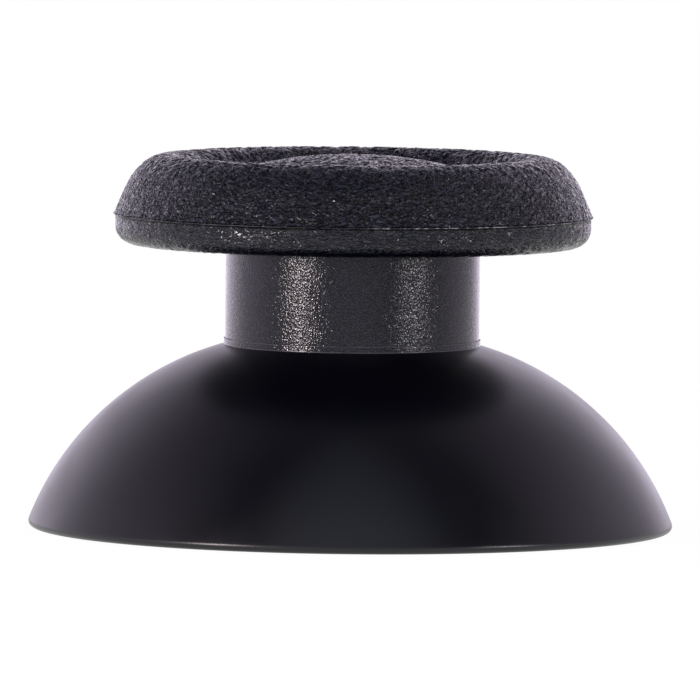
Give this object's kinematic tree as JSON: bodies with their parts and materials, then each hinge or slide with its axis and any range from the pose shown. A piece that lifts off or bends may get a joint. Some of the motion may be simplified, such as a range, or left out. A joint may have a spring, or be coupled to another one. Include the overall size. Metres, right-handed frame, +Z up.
{
  "type": "thumbstick cap",
  "caption": "Thumbstick cap with a hollow dome skirt, a round neck and a grained rubber grip with a raised rim.",
  "frame": {"origin": "centre of the flat ring that the dome stands on, at its bottom face", "axes": "+Z up along the axis of the stick; the socket's flats face along Y"},
  "size_m": [0.0244, 0.0244, 0.0142],
  "materials": {
    "hard_plastic": "black satin dome with a fine spark-eroded neck",
    "grip_rubber": "black, moulded leather-like grain"
  },
  "bodies": {
    "root": {"stick_body": "hard_plastic", "rubber_grip": "grip_rubber"}
  },
  "joints": []
}
